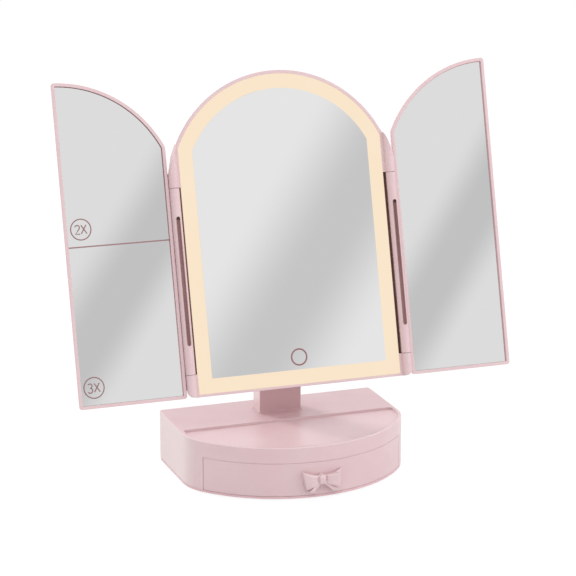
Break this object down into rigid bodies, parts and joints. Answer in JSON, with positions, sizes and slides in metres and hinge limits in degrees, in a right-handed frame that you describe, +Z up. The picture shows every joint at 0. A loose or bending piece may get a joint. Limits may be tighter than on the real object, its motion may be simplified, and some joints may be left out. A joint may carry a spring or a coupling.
{
  "type": "trifold vanity mirror",
  "caption": "Lighted arched make-up mirror with two folding side mirrors, tilting on a post above a D-shaped base with a drawer.",
  "frame": {"origin": "on the table, under the middle of the whole object's box with the wings open flat", "axes": "+Z up, +Y to the back, +X to the viewer's right"},
  "size_m": [0.3674, 0.1386, 0.3258],
  "materials": {
    "pink_plastic": "dusty pink moulded plastic, satin",
    "plate_plastic": "dusty pink moulded plastic, fine texture",
    "foot_rubber": "pale soft rubber",
    "zinc_screw": "zinc plated",
    "weight_steel": "rolled steel",
    "hinge_steel": "plated steel",
    "painted_bracket": "powder coated pink",
    "bush_nylon": "natural nylon",
    "sleeve_brass": "turned brass",
    "mirror_glass": "silvered float glass",
    "frosted_band": "frosted, lit warm white",
    "white_plastic": "white moulded plastic",
    "foam_tape": "white foam tape",
    "flex_circuit": "white flexible circuit",
    "led_chip": "yellow phosphor in white packages",
    "spring_rubber": "conductive foam rubber",
    "board_laminate": "green solder mask",
    "socket_steel": "stamped steel shell",
    "cell_foil": "aluminium foil pouch",
    "lead_cover": "flat twin lead"
  },
  "bodies": {
    "base": {"base_shell": "pink_plastic", "base_plate": "plate_plastic", "base_feet": "foot_rubber", "base_screws": "zinc_screw", "counterweight": "weight_steel", "weight_screws": "zinc_screw", "neck_column": "pink_plastic", "neck_clamp_plate": "hinge_steel", "neck_screws": "zinc_screw", "tilt_bushes": "bush_nylon"},
    "drawer": {"drawer_tray": "pink_plastic", "bow_knob": "pink_plastic", "bow_screw": "zinc_screw"},
    "centre_panel": {"centre_frame": "pink_plastic", "centre_back_cover": "pink_plastic", "light_tray": "white_plastic", "light_diffuser": "frosted_band", "led_strip": "flex_circuit", "led_chips": "led_chip", "centre_mirror": "mirror_glass", "centre_mirror_tape": "foam_tape", "touch_sensor": "spring_rubber", "control_board": "board_laminate", "usb_socket": "socket_steel", "battery_cell": "cell_foil", "battery_lead": "lead_cover", "centre_screws": "zinc_screw", "tilt_bracket": "painted_bracket", "bracket_screws": "zinc_screw", "tilt_bolt": "hinge_steel", "tilt_nut": "hinge_steel", "tilt_washers": "bush_nylon", "left_hinge_pins": "hinge_steel", "right_hinge_pins": "hinge_steel"},
    "left_wing": {"left_wing_frame": "pink_plastic", "left_wing_back": "pink_plastic", "left_mirror_upper": "mirror_glass", "left_mirror_lower": "mirror_glass", "left_mirror_tapes": "foam_tape", "left_hinge_sleeves": "sleeve_brass"},
    "right_wing": {"right_wing_frame": "pink_plastic", "right_wing_back": "pink_plastic", "right_mirror": "mirror_glass", "right_mirror_tape": "foam_tape", "right_hinge_sleeves": "sleeve_brass"}
  },
  "joints": [
    {"name": "drawer_slide", "type": "slide", "parent": "base", "child": "drawer", "axis": [0, -1, 0], "range_m": [0, 0.061]},
    {"name": "panel_tilt", "type": "hinge", "parent": "base", "child": "centre_panel", "pos_m": [0, 0.03875, 0.1999], "axis": [-1, 0, 0], "range_deg": [-15, 75]},
    {"name": "left_wing_fold", "type": "hinge", "parent": "centre_panel", "child": "left_wing", "pos_m": [-0.092, 0.01344, 0.20668], "axis": [0, 0.2588, 0.9659], "range_deg": [0, 180]},
    {"name": "right_wing_fold", "type": "hinge", "parent": "centre_panel", "child": "right_wing", "pos_m": [0.092, 0.01344, 0.20668], "axis": [0, -0.2588, -0.9659], "range_deg": [0, 180]}
  ]
}
